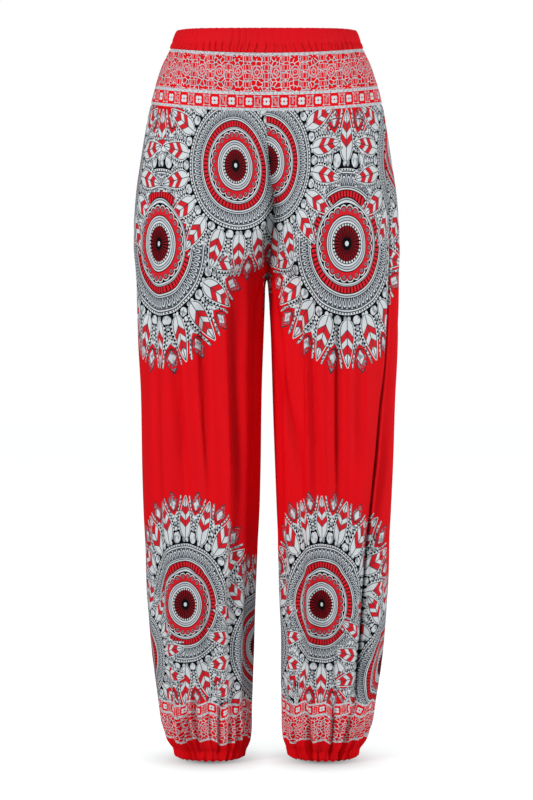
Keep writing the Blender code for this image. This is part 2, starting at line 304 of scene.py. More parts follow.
def fold_marks(side, z):
    """The angles in degrees and lifts of the troughs and crests at one height, in order round the leg."""
    drift = float(smoothstep(DRIFT_FROM, DRIFT_TO, z))
    folds = LEFT_FOLDS if side > 0 else RIGHT_FOLDS
    marks = [(high + (low - high) * drift, lift) for high, low, lift in folds]
    if side > 0:
        seam = float(seam_swing(z))
        marks += [(seam + off, lift) for off, lift in SEAM_PLEAT]
    marks.sort()
    marks.append((marks[0][0] + 360, marks[0][1]))
    return np.array(marks).T


def fold_lift(side, angle, z):
    """How far the folds move the cloth out, row by row."""
    lift = np.zeros_like(z)
    for row in range(z.shape[0]):
        turns, lifts = fold_marks(side, z[row].mean())
        place = (np.degrees(angle[row]) - turns[0]) % 360 + turns[0]
        i = np.clip(np.searchsorted(turns, place, side="right") - 1, 0, len(turns) - 2)
        share = (place - turns[i]) / (turns[i + 1] - turns[i])
        lift[row] = lifts[i] + (lifts[i + 1] - lifts[i]) * (1 - np.cos(math.pi * share)) / 2
    middle, width, _ = ellipse(z, angle)
    beside_seam = smoothstep(0, 30 * MM, middle + width * np.cos(angle))
    below_crotch = smoothstep(CROTCH, CROTCH - 60 * MM, z)
    return lift * MM * fold_share(z) * (beside_seam + (1 - beside_seam) * below_crotch)


def uneven(place):
    """A steady run of unequal sizes about 1, for gathers."""
    return 1 + 0.3 * np.sin(2.1 * place) + 0.2 * np.sin(5.3 * place + 1)


def beside_crease(crease, angle, z):
    """How far round the leg each point is from a crease's path, in metres."""
    top, end = crease.high_z * MM, crease.low_z * MM
    share = np.clip((top - z) / (top - end), 0, 1)
    _, width, depth = ellipse(z, angle)
    return (angle - np.radians(crease.high + (crease.low - crease.high) * share)) * (width + depth) / 2


def crease_lift(creases, angle, z):
    """How far a panel's own creases move the cloth out: a trough with a low ridge on each side."""
    lift = np.zeros_like(z)
    for crease in creases:
        top, end = crease.high_z * MM, crease.low_z * MM
        off = beside_crease(crease, angle, z) / (crease.width * MM)
        shown = smoothstep(top, top - crease.rise * MM, z)
        if crease.fall:
            shown *= smoothstep(end, end + crease.fall * MM, z)
        profile = np.exp(-off ** 2) - 0.45 * np.exp(-((np.abs(off) - 2.1) / 1.1) ** 2)
        lift += crease.lift * MM * shown * profile
    return lift


def ripple_lift(side, angle, z):
    """The faint unevenness of the cloth."""
    lift = np.zeros_like(z)
    for waves, turn, bend, height in RIPPLES:
        lift += height * MM * np.sin(waves * angle + turn * z + side + bend * np.sin(17 * z + waves))
    return lift * fade(z, -110, -300)


def ankle_lift(panel, share, z):
    """The gathers that run up from the ankle, each as far as it happens to."""
    place = panel.gathers * share
    reach = (62 + 26 * np.sin(1.7 * place + panel.side) + 18 * np.sin(4.1 * place + 2)) * MM
    shown = smoothstep(CASING_TOP + reach, CASING_TOP, z)
    narrowed = np.sqrt(np.clip(gather_share(z), 0, 1))
    return ANKLE_GATHER * np.cos(2 * math.pi * place) * uneven(place) * np.maximum(shown, narrowed ** 4) * 1.1


def yoke_dip(angle):
    """How far the yoke's lower seam hangs below its height at the sides."""
    return np.where(np.sin(angle) > 0, YOKE_DIP_FRONT, YOKE_DIP_BACK) * np.sin(angle) ** 2


def waistband_end(angle):
    return WAISTBAND_END - WAISTBAND_DIP * np.sin(angle) ** 2


def ditch(*distances):
    """How far the cloth sinks into a seam, from its distances to the seams round it."""
    return -SEAM_DITCH * sum(np.exp(-(distance / SEAM_WIDTH) ** 2) for distance in distances)


def crack(panel, from_seam, z):
    """How far the cloth sinks into the left side seam's pleat."""
    shown = window(z, -175, -330, -850, -930) * (panel.side > 0)
    width = CRACK_WIDTH if panel.way > 0 else CRACK_WIDTH_BEHIND
    return -CRACK_DEPTH * shown * np.exp(-np.abs(from_seam / width) ** 1.5)


def tuck_shade(panel, from_side, from_centre, creased, z):
    """Painted shade, as a share of 1, where the cloth tucks in and light doesn't reach."""
    # Painted shade in deep creases.
    shade = 0.22 * np.clip(-creased / FULL_SHADE_DEPTH, 0, 1)
    # Painted shade down the left side seam, darkest in its crack.
    if panel.side > 0:
        if panel.way > 0:
            crease = 0.95 * np.exp(-(from_side / SIDE_TUCK) ** 4)
            crease = np.maximum(crease, 0.36 * np.exp(-(from_side / BESIDE_TUCK) ** 2))
        else:
            crease = 0.7 * (from_side < BEHIND_TUCK)
        shade = np.maximum(shade, crease * window(z, -175, -300, -870, -940))
    # Painted shade beside the centre front seam, down to the crotch.
    if panel.way > 0:
        crease = 0.62 * np.exp(-(from_centre / BESIDE_TUCK) ** 2)
        shade = np.maximum(shade, crease * window(z, -110, -240, -345, -420))
    return shade


def crotch_hollow(from_centre, z):
    shown = window(z, -190, -260, -300, -332)
    return -CROTCH_HOLLOW * shown * np.exp(-(from_centre / CROTCH_HOLLOW_WIDTH) ** 2)


def arc_along(points):
    """The distance along each row of points from its first one."""
    steps = np.linalg.norm(np.diff(points, axis=1), axis=2)
    return np.concatenate([np.zeros((len(points), 1)), np.cumsum(steps, axis=1)], axis=1)


def close_seam(panel, points, z):
    """Moves the edge of a panel back to the centre line above the crotch, and the cloth beside it along."""
    arc = arc_along(points)
    gap = panel.side * SEAM_GAP / 2 - points[:, -1:, 0]
    shown = smoothstep(CROTCH - 12 * MM, CROTCH, z[:, -1:])
    points[..., 0] += gap * shown * smoothstep(SEAM_CLOSING, 0, arc[:, -1:] - arc)
    return points


def leg_grid(panel):
    """A leg panel's outer points, inner points and cloth coordinates, as grids, and each one's painted shade.
    """
    upper = np.arange(YOKE_END - SEAM_GAP, HEM_FROM, -LEG_STEP)
    lower = np.linspace(HEM_FROM, CASING_TOP + SEAM_GAP, int((HEM_FROM - CASING_TOP) / HEM_STEP))
    height = np.concatenate([upper, lower])[:, None]
    even = np.linspace(0, 1, LEG_COLUMNS + 1)[None, :]
    share = even - 0.55 * np.sin(2 * math.pi * even) / (2 * math.pi)
    height, share = np.broadcast_arrays(height, share)
    z = height - smoothstep(DIP_END, YOKE_END, height) * yoke_dip(panel_angle(panel, share, height))
    angle = panel_angle(panel, share, z)
    arc = arc_along(section_points(panel.side, angle, z, np.zeros_like(z)))
    from_centre = arc[:, -1:] - arc
    below_top = height[0, 0] - height
    creased = crease_lift(CREASES[panel.name], angle, z)
    lift = fold_lift(panel.side, angle, z) + creased
    lift = lift + ripple_lift(panel.side, angle, z) + ankle_lift(panel, share, z)
    edges = smoothstep(0, SEAM_EASING, arc) * smoothstep(0, SEAM_EASING, from_centre)
    lift = lift * (0.55 + 0.45 * edges) * smoothstep(0, 20 * MM, below_top)
    lift = lift + ditch(arc, from_centre, below_top) + crack(panel, arc, z) + crotch_hollow(from_centre, z)
    sheets = []
    for through in (0.0, CLOTH):
        points = close_seam(panel, section_points(panel.side, angle, z, lift - through), z)
        sheets.append(eased(panel.side, points))
    return *sheets, cloth_coordinates(panel, angle, z, arc), tuck_shade(panel, arc, from_centre, creased, z)


def cloth_coordinates(panel, angle, z, arc):
    """Where each point lies on the flat cloth: across from the grain line towards the side seam, and down."""
    middle, width, _ = ellipse(z, angle)
    grain = np.arccos(np.clip((GRAIN_LINE - middle) / width, -1, 1))
    across = np.empty_like(arc)
    for row in range(len(arc)):
        line = np.interp(grain[row].mean(), panel.way * angle[row], arc[row])
        across[row] = (line - arc[row]) * FULLNESS
    if panel.side < 0:
        beyond = np.minimum(across - CENTRE_GATHER_FROM, 0)
        across += CENTRE_GATHER * beyond * fade(z, -345, -255)
    sag = hem_sag(panel, across, z) + hem_steps(panel, angle, z)
    return np.stack([across, z + sag], axis=-1)


def hem_sag(panel, across, z):
    """How unevenly the cloth is taken up above the ankles, which makes the printed border wavy."""
    waves = 2.6 * np.sin(across / (15 * MM) + panel.side) + 1.8 * np.sin(across / (6.5 * MM) + 2)
    return waves * MM * fade(z, -840, -930)


HEM_STEP_LIFT = 0.5
HEM_STEP_SHARP = 1.2 * MM
HEM_STEP_REACH = 11 * MM


def hem_steps(panel, angle, z):
    """The jumps in the printed border at each crease that runs into the ankle, by turns up and down."""
    sag = np.zeros_like(z)
    ending = [crease for crease in CREASES[panel.name] if not crease.fall]
    for number, crease in enumerate(ending):
        off = beside_crease(crease, angle, z)
        jump = np.tanh(off / HEM_STEP_SHARP) * np.exp(-np.abs(off) / HEM_STEP_REACH)
        sag += (1 if number % 2 else -1) * HEM_STEP_LIFT * crease.lift * MM * jump
    return sag * fade(z, -880, -920)


YOKE_COLUMNS = 260
YOKE_ROWS = 34
YOKE_GATHER = 0.55 * MM
YOKE_GATHER_REACH = 26 * MM


def yoke_angle(way, share, z):
    """The angle at that share of the way from the yoke's left side seam to its right one."""
    gap = SEAM_GAP / 2 / ellipse(z, way)[2]
    start = seam_angle(1, z) + way * gap
    return start + share * (way * (math.pi - gap) - start)


def yoke_grid(way):
    """The yoke's front or back, given as a leg panel is."""
    down = np.linspace(0, 1, YOKE_ROWS + 1)[:, None]
    share = np.linspace(0, 1, YOKE_COLUMNS + 1)[None, :]
    down, share = np.broadcast_arrays(down, share)
    straight = yoke_angle(way, share, WAISTBAND_END + down * (YOKE_END - WAISTBAND_END))
    top = waistband_end(straight) - SEAM_GAP
    end = YOKE_END - yoke_dip(straight)
    z = top + down * (end - top)
    angle = yoke_angle(way, share, z)
    arc = arc_along(section_points(1, angle, z, np.zeros_like(z)))
    place = angle / (2 * math.pi) * WAIST_GATHERS
    gathers = np.cos(2 * math.pi * place) * uneven(place) * np.exp(-(top - z) / YOKE_GATHER_REACH)
    ripples = 0.3 * np.sin(19 * angle + 40 * z) + 0.25 * np.sin(31 * angle - 55 * z + 2)
    lift = YOKE_GATHER * gathers + ripples * MM * smoothstep(0, 0.3, down) * smoothstep(0, 0.3, 1 - down)
    lift = lift + ditch(arc, arc[:, -1:] - arc, top - z, z - end)
    outer, inner = (section_points(1, angle, z, lift - through) for through in (0.0, CLOTH))
    middle = np.array([np.interp(math.pi / 2, np.abs(row), line) for row, line in zip(angle, arc)])
    flat = np.stack([arc - middle[:, None], down * BORDER_END * MM], axis=-1)
    return outer, inner, flat, np.zeros_like(z)


# Profiles of the elastic casings, as closed loops: the share of the way down, the lift, and how far the
# gathers show, as a share of 1.
WAISTBAND_RIM = (
    (1, -0.6, 0.6), (0.985, 0.2, 0.9), (0.94, 0.7, 1.1), (0.86, 1, 1.1), (0.78, 1, 1.1), (0.71, 0.75, 1.15),
    (0.66, 0.2, 1.2), (0.62, 0.55, 1.1), (0.55, 0.95, 0.9), (0.46, 1.1, 0.8), (0.36, 1.15, 0.8),
    (0.26, 1.1, 0.8), (0.18, 0.95, 0.8), (0.12, 0.75, 0.8), (0.08, 0.5, 0.8), (0.05, 0.3, 0.7),
    (0.03, 0, 0.6), (0.008, -0.5, 0.5), (0, -1.1, 0.4), (0.02, -1.9, 0.3), (0.07, -2.3, 0.3),
    (0.3, -2.3, 0.3), (0.6, -2.3, 0.3), (0.85, -2.3, 0.3), (1, -2.2, 0.3),
)
CASING_RIM = (
    (-0.14, -1.1, 1), (0, -0.1, 1), (0.1, 0.1, 1), (0.22, 0.3, 1), (0.38, 0.5, 1), (0.55, 0.7, 1.1),
    (0.72, 0.9, 1.2), (0.85, 0.7, 1.3), (0.95, 0.1, 1.4), (1, -0.7, 1.2), (0.97, -1.6, 0.6), (0.8, -2.1, 0.4),
    (0.4, -2.1, 0.3), (0, -2, 0.3),
)
WAIST_GATHER = 1.0 * MM
WAIST_PINCHES = 150
POINTS_A_PINCH = 9
PLEAT_STEEP = 0.72
TOP_ROUNDING = 2.4 * MM
POINTS_A_CASING_GATHER = 14
# How far the cloth coordinates run round a casing, in metres.
CASING_AROUND = 0.4
EDGE_WAVE = 0.7 * MM


def pleat_profile(share):
    """A small pleat's depth across it: it falls slowly and rises steeply, so it leans over."""
    falling, rising = smoothstep(0, PLEAT_STEEP, share), smoothstep(1, PLEAT_STEEP, share) ** 1.3
    return np.where(share < PLEAT_STEEP, falling, rising)


def waistband_loops():
    """For each step of the waistband's profile, a loop of points, their place on the cloth and painted shade.
    """
    count = WAIST_PINCHES * POINTS_A_PINCH
    turn = np.arange(count) / count
    angle = 2 * math.pi * turn
    wander = 0.3 * np.sin(2 * math.pi * 7 * turn) + 0.2 * np.sin(2 * math.pi * 17 * turn + 1)
    broad = 0.35 * np.cos(2 * math.pi * (WAIST_GATHERS * turn + wander)) * uneven(WAIST_GATHERS * turn)
    corner = TOP_ROUNDING * np.abs(np.cos(angle)) ** 10
    for down, out, gathers in WAISTBAND_RIM:
        below_stitches = smoothstep(0.5, 0.7, down)
        phase = WAIST_PINCHES * turn + wander + 0.3 * np.sin(6 * down + 40 * turn)
        size = 0.6 + 0.4 * np.sin(2.9 * np.floor(phase) + 1.5 * below_stitches)
        pinch = pleat_profile(phase % 1) * (size * (0.4 + 0.6 * below_stitches))
        lift = out * MM + WAIST_GATHER * (broad - 1.5 * pinch) * gathers
        z = down * waistband_end(angle) - corner * (1 - down)
        z = z + EDGE_WAVE * pinch * 1.4 * (down > 0.9) - EDGE_WAVE * 0.5 * (pinch - broad) * (down < 0.05)
        flat = np.stack([turn * WAISTBAND_CUT[0], z], axis=-1)
        # The last part is painted shade in the pinches of the gathers.
        yield section_points(1, angle, z, lift), flat, 0.36 * pinch ** 2 * (out > -1)


def casing_loops(side):
    """The same for an ankle's casing."""
    panels = [panel for panel in PANELS if panel.side == side]
    places, shares, ways = [], [], []
    for panel in panels:
        count = panel.gathers * POINTS_A_CASING_GATHER
        run = np.arange(count) if panel.way > 0 else np.arange(count, 0, -1)
        places.append(panel.gathers * run / count)
        shares.append(run / count)
        ways.append(np.full(count, panel.way))
    place, share, way = (np.concatenate(parts) for parts in (places, shares, ways))
    turn = np.arange(len(place)) / len(place)
    wave = np.cos(2 * math.pi * place) * uneven(place)
    for down, out, gathers in CASING_RIM:
        z = np.full(len(place), CASING_TOP + down * (CASING_END - CASING_TOP))
        seam = seam_angle(side, z)
        angle = seam + share * (way * math.pi - seam)
        creased = np.zeros(len(place))
        for panel in panels:
            own = way == panel.way
            creased[own] = crease_lift(CREASES[panel.name], angle[own], np.full(own.sum(), CASING_TOP))
        lift = out * MM + ANKLE_GATHER * wave * gathers + creased * (1 - 0.55 * down)
        # Painted shade in the troughs of the gathers and creases.
        painted_fold_shade = 0.22 * np.clip(-wave - 0.3, 0, 1) + 0.08 * np.clip(-creased / FULL_SHADE_DEPTH, 0, 1)
        z = z + EDGE_WAVE * 1.8 * (wave - 1) * down ** 2 * (out > -1.7)
        flat = np.stack([turn * CASING_AROUND, z], axis=-1)
        yield eased(side, section_points(side, angle, z, lift)), flat, painted_fold_shade * (out > -1)


# ---- Meshes ----

SHARP_EDGE = 38
CLOTH_MAP = "Cloth"
# The point attribute that holds painted shade: how much darker the colour is painted in tucks and gathers.
PAINTED_SHADE = "PaintedShade"


def new_object(name, data):
    made = bpy.data.objects.new(name, data)
    bpy.context.scene.collection.objects.link(made)
    return made


def new_piece(name, points, faces, coordinates, dark, materials, reverse_from=None):
    """A smooth piece that rides on the body, with its cloth coordinates as a UV map and its painted shade."""
    mesh = bpy.data.meshes.new(name)
    mesh.from_pydata(points.tolist(), [], faces.tolist())
    mesh.update()
    layer = mesh.uv_layers.new(name=CLOTH_MAP)
    corners = np.empty(len(mesh.loops), dtype=np.int32)
    mesh.loops.foreach_get("vertex_index", corners)
    layer.data.foreach_set("uv", coordinates[corners].astype(np.float32).ravel())
    # The painted shade of each point.
    shade = mesh.attributes.new(name=PAINTED_SHADE, type="FLOAT", domain="POINT")
    shade.data.foreach_set("value", dark.astype(np.float32))
    mesh.shade_smooth()
    mesh.set_sharp_from_angle(angle=math.radians(SHARP_EDGE))
    for material in materials:
        mesh.materials.append(material)
    if reverse_from is not None:
        slots = np.zeros(len(mesh.polygons), dtype=np.int32)
        slots[reverse_from:] = 1
        mesh.polygons.foreach_set("material_index", slots)
    piece = new_object(name, mesh)
    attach(piece, "root")
    return piece


def grid_faces(rows, columns, offset=0):
    """Quads between the points of a grid."""
    first = (np.arange(rows - 1)[:, None] * columns + np.arange(columns - 1)[None, :]).ravel() + offset
    return np.stack([first, first + 1, first + columns + 1, first + columns], axis=1)


def shell(name, outer, inner, coordinates, dark, materials, flip):
    """A closed sheet of cloth between two grids of points, its reverse in the second of two materials."""
    rows, columns = outer.shape[:2]
    count = rows * columns
    points = np.concatenate([outer.reshape(-1, 3), inner.reshape(-1, 3)])
    uv = np.concatenate([coordinates.reshape(-1, 2)] * 2)
    front = grid_faces(rows, columns)
    behind = grid_faces(rows, columns, count)[:, ::-1]
    index = np.arange(count).reshape(rows, columns)
    rims = np.concatenate([
        np.stack([edge[1:], edge[:-1], edge[:-1] + count, edge[1:] + count], axis=1)
        for edge in (index[0], index[-1, ::-1], index[::-1, 0], index[:, -1])
    ])
    faces = np.concatenate([front, rims, behind])
    faces = faces[:, ::-1] if flip else faces
    # Painted shade on the outer face, none on the reverse.
    shade = np.concatenate([dark.ravel(), np.zeros(count)])
    return new_piece(name, points, faces, uv, shade, materials, len(front) + len(rims))


def ring(name, loops, material, flip):
    """A closed casing through loops of points that go round its profile."""
    points, coordinates, dark = (np.array(parts) for parts in zip(*loops))
    count, around = points.shape[:2]
    i = np.arange(around)
    j = (i + 1) % around
    faces = np.concatenate([
        np.stack([k * around + i, k * around + j, after * around + j, after * around + i], axis=1)
        for k, after in ((k, (k + 1) % count) for k in range(count))
    ])
    faces = faces[:, ::-1] if flip else faces
    return new_piece(name, points.reshape(-1, 3), faces, coordinates.reshape(-1, 2), dark.ravel(), [material])


# ---- Shader nodes ----

class Wire:
    """A number in a node tree. Arithmetic on it adds Math nodes."""

    def __init__(self, tree, socket):
        self.tree = tree
        self.socket = socket

    def op(self, operation, *others):
        return Wire(self.tree, new_node(self.tree, "Math", (self, *others), operation=operation).outputs[0])

    __add__ = __radd__ = partialmethod(op, "ADD")
    __sub__ = partialmethod(op, "SUBTRACT")
    __mul__ = __and__ = partialmethod(op, "MULTIPLY")
    __truediv__ = partialmethod(op, "DIVIDE")
    __abs__ = partialmethod(op, "ABSOLUTE")
    __or__ = at_least = partialmethod(op, "MAXIMUM")
    at_most = partialmethod(op, "MINIMUM")
    __lt__ = partialmethod(op, "LESS_THAN")
    __gt__ = partialmethod(op, "GREATER_THAN")
    power = partialmethod(op, "POWER")
    root = partialmethod(op, "SQRT")
    sine = partialmethod(op, "SINE")
    # near(centre, half) is 1 within half of centre, else 0.
    near = partialmethod(op, "COMPARE")

    def __rsub__(self, other):
        return self * -1 + other

    def clamped(self):
        return self.at_least(0).at_most(1)

    def repeat(self, period):
        """The distance past the middle of the nearest repeat, from minus to plus half a period."""
        return self.op("WRAP", period / 2, -period / 2)


def feed(tree, socket, value):
    """Sets a socket to a number or colour, or links a wire or an output to it."""
    value = value.socket if isinstance(value, Wire) else value
    if isinstance(value, bpy.types.NodeSocket):
        tree.links.new(value, socket)
    else:
        socket.default_value = value


def new_node(tree, kind, inputs=(), **settings):
    """A shader node with its settings, and values or links for its inputs by number or name."""
    made = tree.nodes.new("ShaderNode" + kind)
    for name, value in settings.items():
        setattr(made, name, value)
    for key, value in inputs.items() if isinstance(inputs, dict) else enumerate(inputs):
        feed(tree, made.inputs[key], value)
    return made


def length(x, y):
    return (x * x + y * y).root()


def vector(tree, x, y):
    return new_node(tree, "CombineXYZ", (x, y)).outputs[0]


def parts_of(tree, place):
    """The first two numbers of a vector."""
    made = new_node(tree, "SeparateXYZ", (place,))
    return Wire(tree, made.outputs[0]), Wire(tree, made.outputs[1])


def vector_math(tree, operation, *values):
    made = new_node(tree, "VectorMath", values, operation=operation)
    return made.outputs[1] if operation == "LENGTH" else made.outputs[0]


# Which of a Mix node's sockets are the two things mixed, and which is the result.
MIX_SOCKETS = {"VECTOR": (4, 5, 1), "RGBA": (6, 7, 2)}


def choose(tree, mask, on, off, kind):
    """Of two vectors or colours, the one that the mask picks."""
    first, second, result = MIX_SOCKETS[kind]
    return new_node(tree, "Mix", {0: mask, first: off, second: on}, data_type=kind).outputs[result]


class Print:
    """Ink laid on cloth, each mask over what is there."""

    def __init__(self, tree, ground):
        self.tree = tree
        self.colour = ground

    def lay(self, mask, ink):
        ink = INK[ink] if isinstance(ink, str) else ink
        self.colour = choose(self.tree, mask, ink, self.colour, "RGBA")


def ramp(tree, value, start, end, table):
    """Bands of ink across a value, from a table of where each band ends."""
    made = new_node(tree, "ValToRGB", ((value - start) / (end - start),))
    made.color_ramp.interpolation = "CONSTANT"
    stops = made.color_ramp.elements
    stops.remove(stops[1])
    place = start
    for i, (band_end, ink) in enumerate(table):
        share = (place - start) / (end - start)
        stop = stops[0] if i == 0 else stops.new(share)
        stop.position = share
        stop.color = INK[ink]
        place = band_end
    return made.outputs[0]


def cells(tree, place, size, feature):
    """Distances in irregular cells of that size: F1 from their points, or DISTANCE_TO_EDGE."""
    inputs = {"Vector": place, "Scale": 1 / size}
    made = new_node(tree, "TexVoronoi", inputs, voronoi_dimensions="2D", feature=feature)
    return Wire(tree, made.outputs["Distance"])


def noise(tree, place, size, detail):
    inputs = {"Vector": place, "Scale": 1 / size, "Detail": detail}
    return Wire(tree, new_node(tree, "TexNoise", inputs, noise_dimensions="2D").outputs["Fac"])


# ---- The print ----

def colour(*screen):
    """A screen colour, as 0 to 255, in the linear light that shaders use."""
    return (*(((c / 255 + 0.055) / 1.055) ** 2.4 if c > 10 else c / 255 / 12.92 for c in screen), 1.0)


INK = {
    "red": colour(239, 12, 24), "bright": colour(236, 20, 32), "rose": colour(228, 34, 46),
    "maroon": colour(140, 16, 27), "white": colour(228, 231, 235), "pale": colour(196, 202, 209),
    "grey": colour(134, 141, 152), "slate": colour(46, 52, 62), "black": colour(6, 7, 10),
    "reverse": colour(206, 96, 98),
}

# A round ornament of concentric rings inside petals. Sizes are in parts, of which its radius has 131.
RADIUS = 131
RINGS_END = 71.6
RINGS = (
    (2.4, "white"), (6.2, "black"), (17.2, "maroon"), (20.2, "black"), (22.3, "white"), (23.2, "slate"),
    (25, "pale"), (25.8, "slate"), (27.4, "white"), (28.5, "black"), (33.6, "rose"), (39.4, "black"),
    (40.6, "white"), (41.2, "slate"), (42, "pale"), (42.8, "black"), (48.8, "rose"), (49.8, "black"),
    (51.2, "white"), (52.1, "black"), (53.5, "pale"), (54.5, "black"), (64.9, "grey"), (66, "black"),
    (67.4, "white"), (68.4, "black"), (70.6, "white"), (RINGS_END, "black"),
)
SPOKES = 27
LOBES = 24
BRICKS = 64
ARCHES = 58
DOTS = 110
PETALS = 18
PETAL_START = 75.5
PETAL_END = 122.5
PETAL_WIDTH = 9.6
PETAL_OUTLINE = 1.2
CHEVRONS_START = 60.0
CHEVRONS_END = 125.0
CHEVRON_SLOPE = 0.95
CHEVRONS = (
    (84.6, "white"), (85.5, "slate"), (92, "rose"), (92.9, "slate"), (99.2, "white"), (100.1, "slate"),
    (107.6, "rose"), (108.5, "slate"), (CHEVRONS_END, "white"),
)
# Where the ground starts to show in the middle of the gaps between petals, and how fast it widens there, at
# first and further out.
GAP_END = 101
GAP_SPREAD = 1.0
GAP_BEND = 5.8
GAP_SPREAD_OUT = 0.4
# A petal's dotted edge, and the leaf outside it.
DOTTED_EDGE = 3.3
LEAF_TIP = 6.2
LEAF_START = 87.0
LEAF_END = 124.5
DROP_START = 105.0
DROP_END = 131.0
DROP_WIDTH = 7.8

# Beads down the middle of each gap between petals: their radius, their distance from that middle line, and
# their half sizes. The bead at each side of a petal's foot is placed from the petal's middle line.
GAP_BEADS = ((76.9, 0, 4.6, 5.2), (86.7, 0, 4.5, 4.4), (95, 0, 3.3, 2.6))
FOOT_BEAD = (74.4, 2.5, 2.3, 2.3)


class Wedge:
    """Where a point lies in one of an ornament's petals, in parts: its radius r, its distance x from the
    petal's middle line and g from the gap's, and how far it is beside the petal."""

    def __init__(self, tree, place):
        x, y = parts_of(tree, place)
        self.place = place
        self.turn = x.op("ARCTAN2", y)
        self.r = Wire(tree, vector_math(tree, "LENGTH", place))
        half = math.pi / PETALS
        aside = abs(self.turn.repeat(2 * half))
        self.x = self.r * aside
        self.g = self.r * (half - aside)
        self.lens = self.leaf_shape(PETAL_START, PETAL_END, 0.6) * PETAL_WIDTH
        self.beside = self.x - self.lens

    def leaf_shape(self, start, end, bulge):
        """The half width, as a share of 1, of a leaf between two radii, widest nearer its start."""
        along = ((self.r - start) / (end - start)).clamped()
        return (along.power(bulge) * math.pi).sine().at_least(0).power(0.8)

    def leaf(self):
        """How far a point is inside one of the dotted leaves that flank a petal, below zero outside them."""
        beyond = self.r - GAP_END
        further = beyond * GAP_SPREAD_OUT + GAP_BEND * (1 - GAP_SPREAD_OUT / GAP_SPREAD)
        edge = (beyond * GAP_SPREAD).at_most(further)
        side = (self.g - edge).at_most(self.x - (self.lens + DOTTED_EDGE).at_least(LEAF_TIP))
        return side.at_most(self.r - LEAF_START).at_most(LEAF_END - self.r)

    def drop(self, inset=0.0):
        """1 in the drop on the gap's middle line, or in what is left of it inside its edge."""
        lens = self.leaf_shape(DROP_START + 1.6 * inset, DROP_END - 2.2 * inset, 0.75)
        return self.g < lens * (DROP_WIDTH - inset)

    def rays(self, count):
        """A zigzag round the centre, from 0 to 1 and back that many times."""
        return (self.turn * (count / math.pi)).op("PINGPONG", 1)

    def covers(self):
        """1 where the ornament has ink, apart from its drops."""
        petal = (self.beside < PETAL_OUTLINE) & (self.r < PETAL_END + 1)
        return (self.r < GAP_END) | petal | (self.leaf() > 0)


BEAD_OUTLINE = 1.25


def silver(tree, place, size):
    """White ink with a soft grey shade drawn into it."""
    shade = ((noise(tree, place, size, 1) - 0.46) * 4.5).at_least(0).at_most(0.85)
    return choose(tree, shade, INK["grey"], INK["white"], "RGBA")


def lay_bead(ink, bead, r, aside, lit):
    """A shaded bead with a black outline."""
    at, off, long, across = bead
    size = length((r - at) / long, (aside - off) / across)
    ink.lay((size < 1 + BEAD_OUTLINE / across) & (r < GAP_END), "black")
    ink.lay((size < 1) & (r < GAP_END), lit)


def paint_gaps(tree, wedge, ink):
    """Outside the rings: black with white dots, beads between and below the petals, a dotted leaf down each
    petal's side, and lace drops with pale hearts."""
    r, x, g, beside = wedge.r, wedge.x, wedge.g, wedge.beside
    lit = silver(tree, wedge.place, 5)
    ink.lay(r < GAP_END, "black")
    ink.lay((r < 88) & (length(r.repeat(4.4), x.repeat(4.4)) < 0.8), "white")
    for bead in GAP_BEADS:
        lay_bead(ink, bead, r, g, lit)
    lay_bead(ink, FOOT_BEAD, r, x, lit)
    leaf = wedge.leaf()
    ink.lay(leaf > 0, "slate")
    ink.lay(leaf > 0.6, lit)
    ink.lay((leaf > 0.6) & (length(r.repeat(4.4), beside - DOTTED_EDGE - 2) < 0.95), "black")
    strip = (beside < DOTTED_EDGE + 0.4) & r.near(94.5, 11.5)
    ink.lay(strip, "black")
    ink.lay(strip & (length(r.repeat(4), beside - 2.1) < 1), "white")
    lace = cells(tree, wedge.place, 2.6, "F1")
    heart = abs(r - 114.5) * 0.66 + g
    inside = wedge.drop(1.0)
    ink.lay(wedge.drop() & (lace > 0.2), "slate")
    ink.lay(inside, "rose")
    ink.lay(inside & (r > 113) & (lace > 0.5), "grey")
    ink.lay(heart < 5.5, "slate")
    ink.lay(heart < 4.8, lit)


def paint_petals(tree, wedge, ink):
    """Petals of chevrons, outlined in white."""
    r, x, beside = wedge.r, wedge.x, wedge.beside
    on_petal = r < PETAL_END + 1
    outline = on_petal & (r > PETAL_START)
    inner = (beside < -0.8) & on_petal
    ink.lay((beside < PETAL_OUTLINE) & outline, "white")
    ink.lay((beside < 0.1) & outline, "slate")
    ink.lay(inner, ramp(tree, r - x * CHEVRON_SLOPE, CHEVRONS_START, CHEVRONS_END, CHEVRONS))
    ink.lay(inner & (x < 0.45), "slate")


